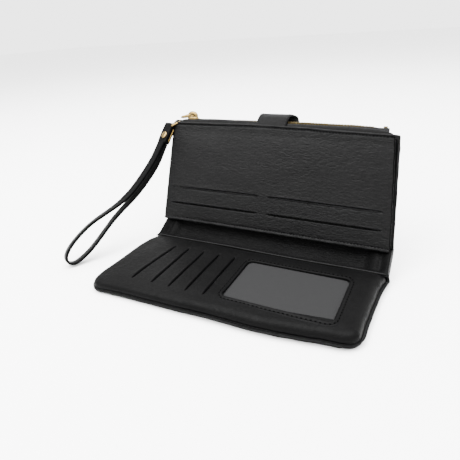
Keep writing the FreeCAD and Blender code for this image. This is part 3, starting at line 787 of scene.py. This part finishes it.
def leaf_plan(x, h):
    """The leaf's outline: its right side leans in and its top falls to the right."""
    right = table_at(LEAF_RIGHT, h)
    across = (x + LEAF_HALF) / (2 * LEAF_HALF)
    place = LEAF_LEFT + (right - LEAF_LEFT) * across
    return place, LEAF_LOW + (h - LEAF_LOW) * (table_at(LEAF_TOP, place) - LEAF_LOW) / (LEAF_HIGH - LEAF_LOW)


def leaf_depth(x, h, d):
    """How far the leaf's surface stands off the cover, d from the leaf's edge."""
    depth = LEAF_FACE + 0.7 * ramp(d, 1, 26) + 0.3 * wander(x, h, 30, 1.7) * ramp(d, 0, 15)
    depth += 0.22 * wander(x * 0.5, h * 2.0, 14, 4.4) * ramp(d, 0, 10)
    for swell, height, width in LEAF_BUMPS:
        depth += swell * math.exp(-((h - height) / width) ** 2)
    if d < 1.3:
        depth -= 1.3 - math.sqrt(max(0.0, 1.3 ** 2 - (1.3 - d) ** 2))
    return depth


def leaf_point(x0, h0):
    """The leaf's surface before its slots, in the upper half's frame."""
    corner, middle, half = 1.8, (LEAF_LOW + LEAF_HIGH) / 2, (LEAF_HIGH - LEAF_LOW) / 2
    x, h = x0, h0
    a, b = (abs(x0) - (LEAF_HALF - corner)) / corner, (abs(h0 - middle) - (half - corner)) / corner
    d = min(LEAF_HALF - abs(x0), half - abs(h0 - middle))
    if a > 0 and b > 0:
        u, v, deep = rounded(a, b)
        x = math.copysign(LEAF_HALF - corner + u * corner, x0)
        h = middle + math.copysign(half - corner + v * corner, h0 - middle)
        d = corner * deep
    place, height = leaf_plan(x, h)
    return Vector((place, height, leaf_depth(x0, h0, max(0.0, d))))


def leaf():
    """Leather leaf with four card slots and turned, stitched edges."""
    edge = (0.25, 0.8, 1.6, 3.0)
    xs = lines(-LEAF_HALF, LEAF_HALF, 3.6, *(e - LEAF_HALF for e in edge), *(LEAF_HALF - e for e in edge),
               *(span[0] + e for span in LEAF_SPANS for e in SLOT_ENDS),
               *(span[1] - e for span in LEAF_SPANS for e in SLOT_ENDS))
    hs = lines(LEAF_LOW, LEAF_HIGH, 3.6, *(r + off for r in LEAF_ROWS for off in SLOT_LINES),
               *(LEAF_LOW + e for e in edge), *(LEAF_HIGH - e for e in edge), 4.7, 5.05, 5.4, 5.75, 6.2,
               82, 84, 86, 88, 89.4, 89.9, 90.25, 90.5, 90.75, 91.1)
    verts = []
    for h0 in hs:
        for x0 in xs:
            point = leaf_point(x0, h0)
            for row in LEAF_ROWS:
                for span in LEAF_SPANS:
                    if abs(h0 - row) < 7:
                        shift, sink = slot_effect(row - h0, x0, *span, gap=0.2 if row < 25 else 0.42)
                        point.y -= shift
                        point.z += sink
            verts.append(point)
    columns = len(xs)
    faces = grid_faces(len(hs), columns)
    front = len(faces)
    turn_edge(verts, faces, closed_rim(len(hs), columns),
              ((0.1, -0.5), (-0.1, -1.1), (-0.9, -1.8), (-4.0, -2.2)), closed=True)
    piece = new_piece("leaf_skin", verts, faces, LEAF_LEATHER, place=UPPER, levels=1)
    # The leaf's side faces and its turned edge, all but the bottom edge, take the darker leather: painted
    # shade.
    piece.data.materials.append(SHADED_SIDE_LEATHER)
    for face in piece.data.polygons:
        low = min(verts[v].y for v in face.vertices)
        beside = face.index < front and face.index % (columns - 1) in (0, 1, columns - 3, columns - 2)
        if low > 4 and (beside or face.index >= front):
            face.material_index = 1
    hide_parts("leaf_panel", "leaf_piping_bottom", "leaf_piping_top")
    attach(piece, "upper_half")


def leaf_seams():
    """Stitch rows along the leaf's bottom and top edges."""
    rows = []
    for height, start in zip(LEAF_DITCHES, (-99, -45)):
        xs = [start + (98 - start) * i / 60 for i in range(61)]
        path = [leaf_point(x, height) + Vector((0, 0, 0.12)) for x in xs]
        rows.append((path, [Z_AXIS] * len(path)))
    stitches("leaf_stitches", rows, "upper_half", place=UPPER, pitch=2.6, long=1.7, radius=0.3)


leaf()
leaf_seams()


# ---- cover, linings and bead ----
def cover_lower():
    """Cover leather under the lower half, turned up at its free edges, as far as the middle of the spine."""
    edge, half, front = (0.4, 1.2, 2.6, 5.0), 101.4, -45.2
    xs = lines(-half, half, 6.0, *(e - half for e in edge), *(half - e for e in edge), -6.9, -2.0, 2.9)
    ss = lines(front, MID_SPINE, 5.0, *(front + e for e in edge), 38, 40, 42, 43.5, 45, 46, 47, 48.5, 50, 53)
    flat = []
    for s0 in ss:
        for x0 in xs:
            x, s, d = plan_point(x0, s0, half, front + 0.2, 11.5)
            if s < 40:
                x, s = wavy_plan(x, s)
            else:
                x += (table_at(COVER_RIGHT, s) - half) * ramp(x, 62, 101)
            flat.append(Vector((x, s, 0.25 * (1 - ramp(d, 0, 2.0)) + 0.02)))
    faces = grid_faces(len(ss), len(xs))
    turn_edge(flat, faces, open_rim(len(ss), len(xs)),
              ((-0.35, 0.25), (-0.5, 0.6), (-0.1, 0.93), (0.8, 1.0), (3.0, 0.95)),
              share=lambda point: (1 - ramp(point.y, 44, 54), 1.4 + 2.7 * (1 - ramp(point.y, 38, 44))))
    piece = new_piece("cover_wrap_lower", [wrap(*p) for p in flat], faces, COVER_LEATHER, levels=1)
    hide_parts("lower_cover", "cover_press_stud")
    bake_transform(piece)


def lower_core():
    """Stiffener board inside the lower half: one slab in place of both the board and its lining."""
    half, front = 98.5, -42.5
    xs, ss = lines(-half, half, 8.0), lines(front, 42.0, 7.0)
    flat = [(*wavy_plan(*plan_point(x, s, half, front, 7)[:2]), 1.5) for s in ss for x in xs]
    piece = new_piece("lower_core", *slab(flat, len(ss), len(xs), 3.6), BOARD, slot="stiffener_board")
    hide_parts("lower_board", "lower_lining")
    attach(piece, "lower_half")


def cover_upper():
    """Cover leather from the middle of the spine to the upper half's free edge, with turned edges."""
    edge, corner, top = (0.4, 1.2, 2.6), 2.0, FOLD_B + 93.5
    xs = [v / 100 for v in lines(-100, 100, 7, -98.4, -99.4, -99.8, 98.4, 99.4, 99.8)]
    ss = lines(MID_SPINE, top, 5.0, 60, 63, 65, 66.5, 68, 69.5, 71, 73, *(top - e for e in edge))
    flat = []
    for s in ss:
        h = max(0.0, s - FOLD_B)
        right = table_at(COVER_RIGHT, s)
        for u in xs:
            x = u * (101.8 - 0.4 * ramp(h, 0, 94)) if u < 0 else u * right
            beyond = max(0.0, abs(x) - (right - corner))
            drop = corner - math.sqrt(max(0.0, corner ** 2 - beyond ** 2)) if s > top - 6 else 0.0
            puff = 0.5 * math.exp(-((h - 82) / 9) ** 2) * math.exp(-((x + 2) / 22) ** 2)
            flat.append((x, s - drop, -puff))
    verts, faces = slab(flat, len(ss), len(xs), 1.4)
    piece = new_piece("cover_wrap_upper", [wrap(*p) for p in verts], faces, COVER_LEATHER, levels=1)
    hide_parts("upper_cover", "spine_cover")
    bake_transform(piece)


# How far the valley's lining rises towards its mouth, at distances from the middle.
VALLEY_ENDS = [(84, 0.0), (89, 0.45), (92.5, 0.62), (95.5, 0.5), (98.5, 0.8), (100.8, 0.98), (102, 0.95),
               (102.8, 0.5), (103.2, 0.0)]
# A point of the valley's mouth, and the way out of it.
MOUTH = (Vector((0, 40.0, 9.6)), Vector((0, -0.468, 0.884)))


def valley(name, path, stands_for):
    """Lining leather in the valley, which rises into a soft fold at each end."""
    curve = spline([Vector((0, y, z)) for y, z in path], 3)
    ends = (84, 86.5, 89, 91, 92.5, 94, 95.5, 97, 98.5, 99.7, 100.8, 101.5, 102, 102.5, 102.9, 103.2)
    xs = lines(-103.2, 103.2, 7.0, *(sign * v for sign in (-1, 1) for v in ends))
    verts = []
    for point in curve:
        depth = max(0.0, (MOUTH[0] - point).dot(MOUTH[1]))
        for x in xs:
            away = abs(x)
            lift = depth * table_at(VALLEY_ENDS, away)
            fold = 0.5 * wander(x, point.y, 7, 2.6) * ramp(away, 84, 92) * ramp(-away, -101.5, -99)
            fold += 0.22 * wander(x, point.y * 3, 16, 6.1) * ramp(-away, -101, -96)
            side = x + 1.6 * ramp(x, 60, 102) if x > 0 else x + 0.6 * ramp(-x, 60, 102)
            verts.append(Vector((side, point.y, point.z)) + MOUTH[1] * (lift + fold))
    # Low-sheen leather here: painted shade in the valley.
    piece = new_piece(name, verts, grid_faces(len(curve), len(xs)), SHADED_VALLEY_LEATHER, levels=1)
    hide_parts(*stands_for)
    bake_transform(piece)


def bead():
    """The piped bead along the back of the padded panel."""
    xs = [-99.3 + 202.3 * i / 90 for i in range(91)]
    path = [Vector((x, 39.7 + 0.8 * wander(x, 0, 60, 9.3), PAD_TOP - 0.45 + 0.25 * wander(x, 5, 40, 2.3)))
            for x in xs]
    radii = [0.3] + [1.0 + 0.06 * math.cos(math.pi * i) for i in range(len(path) - 2)] + [0.3]
    piece = new_piece("panel_bead", *tube(path, radii, 8), TRIM_LEATHER, levels=1)
    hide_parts("panel_piping")
    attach(piece, "lower_half")


cover_lower()
lower_core()
cover_upper()
valley("valley_skin_lower",
       [(39.0, 8.6), (40.6, 9.4), (42.6, 8.6), (44.8, 6.6), (47.6, 5.6), (50.6, 6.2), (54.1, 8.0)],
       ["valley_lining_lower"])
valley("valley_skin_upper",
       [(54.1, 8.0), (58.6, 10.6), (62.4, 13.2), (63.7, 16.0), (63.2, 19.2), (61.4, 20.9), (60.2, 21.8)],
       ["valley_lining_upper", "spine_lining"])
bead()


# ---- zip, facings and sides of the upper half ----
# Heights along the tops of the zip's two facings and of its teeth.
FRONT_LIP = [(-97, 98.2), (-60, 99.2), (-35, 98.6), (-5, 97.9), (17, 97.4), (58, 97.0), (80, 95.9),
             (93, 93.6)]
BACK_LIP = [(-97, 97.4), (-20, 98.0), (58, 97.6), (80, 96.4), (89, 94.4)]
ZIP_DEPTH = 4.2                             # how far the zip's middle stands off the cover
CHAIN_TOP = [(-90, 99.3), (-20, 99.6), (17, 99.6), (58, 99.1), (74, 98.5), (82, 97.3), (88, 94.6)]


def facing(name, near, far, end, tops, node):
    """Leather strip beside the zip, with a rounded, slightly uneven top."""
    loops = []
    start, middle, half = -97.0, (near + far) / 2, abs(far - near) / 2
    for i in range(49):
        x = start + (end - start) * i / 48
        height = table_at(tops, x)
        drift = 0.25 * wander(x, middle, 26, 7.7)
        ease = 1.0 if 0 < i < 48 else 0.6
        side = [(86, 1), (height - 1.4, 1), (height - 0.45, 0.85), (height, 0.3)]
        loop = [(b, -half * c) for b, c in side] + [(b, half * c) for b, c in reversed(side)]
        loops.append([(x, b - (1 - ease) * 1.5, middle + drift + c * ease) for b, c in loop])
    piece = new_piece(name, *loft(loops), TRIM_LEATHER, place=UPPER, levels=1)
    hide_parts(node)
    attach(piece, "upper_half")


def zip_chain():
    """Two rows of metal teeth that mesh along the middle of the zip."""
    verts, faces = [], []
    tooth, count = soft_block((1.3, 2.3, 1.9), 0.4), 152
    for n in range(count):
        x = -90.0 + 178.0 * n / (count - 1)
        top, side = table_at(CHAIN_TOP, x), 1 if n % 2 else -1
        add_skin(verts, faces, moved(tooth, x, top - 1.15, ZIP_DEPTH + side * 0.55))
    piece = new_piece("zip_chain", verts, faces, BRASS, slot="antique_brass", place=UPPER)
    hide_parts("zip_teeth_front", "zip_teeth_back")
    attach(piece, "upper_half")


def side_fold(name, sign, node):
    """Soft gusset between the cover and the leaf at one side, folded inwards."""
    section = ((0.9, 0.0), (2.6, 0.35), (4.4, 1.0), (6.2, 0.4), (7.4, 0.1), (7.4, 2.5), (0.9, 2.5))
    loops = []
    for i in range(25):
        h = 3.0 + 87.5 * i / 24
        back = 101.0 if sign < 0 else table_at(COVER_RIGHT, FOLD_B + h) - 0.7
        front = 103.4 if sign < 0 else table_at(LEAF_RIGHT, h) - 0.7
        inward = 1.9 + 0.5 * wander(h, sign * 7, 18, 3.3)
        loops.append([(sign * (back + (front - back) * (depth - 0.9) / 6.5 - part * inward), h, depth)
                      for depth, part in section])
    # The gusset takes the darker leather: painted shade.
    piece = new_piece(name, *loft(loops), SHADED_SIDE_LEATHER, place=UPPER, levels=1)
    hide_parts(node)
    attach(piece, "upper_half")


def ring_loop():
    """Leather loop at the zip's end that holds the ring."""
    block = new_piece("zip_end_loop", *moved(soft_block((8.4, 6.4, 3.2), 0.9, 0.15), -99.2, 94.6, 3.1),
                      TRIM_LEATHER, place=UPPER, levels=1)
    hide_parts("ring_tab")
    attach(block, "upper_half")
    turned = Matrix.Translation(RING_BAR) @ ACROSS.to_track_quat("Z", "Y").to_matrix().to_4x4()
    loops = []
    for z, radius in ((-2.5, 1.2), (-2.5, 2.1), (-2.1, 2.45), (0, 2.55),
                      (2.1, 2.45), (2.5, 2.1), (2.5, 1.2)):
        loops.append([(radius * math.cos(a), radius * math.sin(a), z) for a in circle(16)])
    eye = new_piece("zip_end_eye", *loft(loops, capped=False), TRIM_LEATHER, place=turned, levels=1)
    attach(eye, "upper_half")


facing("zip_lip_front", 6.1, 7.7, 92.7, FRONT_LIP, "zip_facing_front")
facing("zip_lip_back", 2.3, 0.7, 88.5, BACK_LIP, "zip_facing_back")
zip_chain()
side_fold("side_fold_left", -1, "side_gusset_left")
side_fold("side_fold_right", 1, "side_gusset_right")
ring_loop()

ZIP = UPPER @ Matrix.Translation((-86, 99.3, ZIP_DEPTH)) @ Matrix.Rotation(-math.pi / 2, 4, "X")


def slider():
    """Zip slider: a shield-shaped body with turned-down sides and a bail."""
    loops = []
    outline = ((-5.4, 1.6), (-4.2, 2.6), (-1.8, 3.3), (0.6, 3.1), (3.0, 3.4), (5.4, 3.0), (6.5, 1.7))
    ring = [(x, w) for x, w in outline] + [(x, -w) for x, w in reversed(outline)]
    for z, scale in ((-1.6, 0.93), (-1.5, 1.0), (0.6, 1.02), (1.2, 0.96), (1.5, 0.8)):
        loops.append([(x * scale, y * scale, z * (1 - 0.5 * ramp(x, 1, 8)) if z > 0 else z) for x, y in ring])
    body = new_piece("slider_body", *loft(loops), GOLD, slot="gold_metal", place=ZIP, levels=2)
    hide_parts("zip_slider")
    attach(body, "zip_slider")
    arch = spline(((-4.6, 0, 0.6), (-4.7, 0, 3.2), (-3.4, 0, 4.8), (-0.4, 0, 5.0), (2.4, 0, 4.2),
                   (3.7, 0, 0.6)), 5)
    radii = [1.3 + 0.65 * math.sin(math.pi * i / (len(arch) - 1)) for i in range(len(arch))]
    bail = new_piece("slider_bail", *tube(arch, radii), GOLD, slot="gold_metal", place=ZIP, levels=1)
    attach(bail, "zip_slider")


def puller():
    """Short puller: an eye round the bail and a tapered pull."""
    pin = UPPER @ Matrix.Translation((-85, 101.75, ZIP_DEPTH)) @ Matrix.Rotation(math.radians(11), 4, "Z")
    eye = [Vector((-2.1 + 2.1 * math.cos(a), 0, 2.1 * math.sin(a))) for a in circle(24)]
    ring = new_piece("puller_eye", *tube(eye, 0.62, 8, closed=True), GOLD, slot="gold_metal",
                     place=pin, levels=1)
    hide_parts("zip_puller")
    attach(ring, "zip_puller")
    loops = []
    for x, wide, thick, lift in ((-3.4, 1.4, 1.0, 0.9), (-4.2, 2.0, 1.5, 1.1), (-6.6, 2.2, 1.5, 1.1),
                                 (-10.4, 2.4, 1.2, 0.9), (-13.6, 2.2, 1.0, 0.9), (-14.6, 1.4, 0.6, 0.8)):
        loops.append([(x, lift + v * thick, u * wide) for u, v in rounded_loop(1, 1, 0.45, 2)])
    pull = new_piece("puller_pull", *loft(loops), GOLD, slot="gold_metal", place=pin, levels=1)
    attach(pull, "zip_puller")


slider()
puller()


# ---- closure tab ----
TAB_HALF = 13.7
TAB_SEWN = 32.0                             # length of the tab that is sewn down, behind the cover
TAB_ROUTE = ((71, -1.55), (80, -1.75), (92, -1.75), (99, -1.6), (104.6, -1.5), (104.9, 2.8), (104.6, 8.1),
             (99, 8.2), (93.6, 8.1))


def closure_tab():
    """Closure tab: sewn behind the cover, up over the zip and down inside the leaf, with its stitches."""
    middle = spline([(0, h, n) for h, n in TAB_ROUTE], 6)
    marks_and_painted_reflections = along(middle)
    loops, rows = [], {-1: ([], []), 1: ([], [])}
    for i, point in enumerate(middle):
        way = (middle[min(i + 1, len(middle) - 1)] - middle[max(i - 1, 0)]).normalized()
        out = X_AXIS.cross(way) * -1
        share = marks_and_painted_reflections[i] / marks_and_painted_reflections[-1]
        centre = 2.6 - 9.4 * ramp(share, 0.45, 1.0)
        half = TAB_HALF * (0.9 + 0.1 * ramp(marks_and_painted_reflections[i], 0, 4)) - 0.35 * ramp(share, 0.9, 1.0)
        section = []
        for u, v in rounded_loop(half, 0.85, 0.7, 2):
            crown = 0.18 * (1 - (u / half) ** 2) if v > 0 else 0.0
            section.append(point + Vector((centre + u, 0, 0)) + out * (v + crown))
        loops.append(section)
        if marks_and_painted_reflections[i] >= TAB_SEWN:
            for side, (path, normals) in rows.items():
                path.append(point + Vector((centre + side * (TAB_HALF - 1.9), 0, 0)) + out * 0.92)
                normals.append(out)
    piece = new_piece("closure_strap", *loft(loops), TAB_LEATHER, place=UPPER, levels=1)
    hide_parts("closure_tab", "closure_tab_base", "closure_tab_lining")
    hinge, way = Vector((0, 98.0, -1.45)), Vector((0, 1, 2.2)).normalized()
    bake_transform(piece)
    stitches("tab_stitches", rows.values(), "closure_tab", place=UPPER, pitch=2.2, long=1.4, radius=0.24)


closure_tab()


# ---- materials on the CAD pieces that stay ----
CAD_FINISH = {
    "spine_board": BOARD, "upper_board": BOARD, "upper_lining": LINING, "coin_pocket": LINING,
    "window_pocket_back": LINING, "zip_tape_back": TAPE, "zip_tape_front": TAPE, "zip_bottom_stop": BRASS,
    "tab_press_stud": GOLD, "strap_ring": GOLD}

for name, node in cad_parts.items():
    finish = CAD_FINISH.get(name, LINING if "card_pocket" in name else TRIM_LEATHER)
    node.data.materials.clear()
    node.data.materials.append(finish)
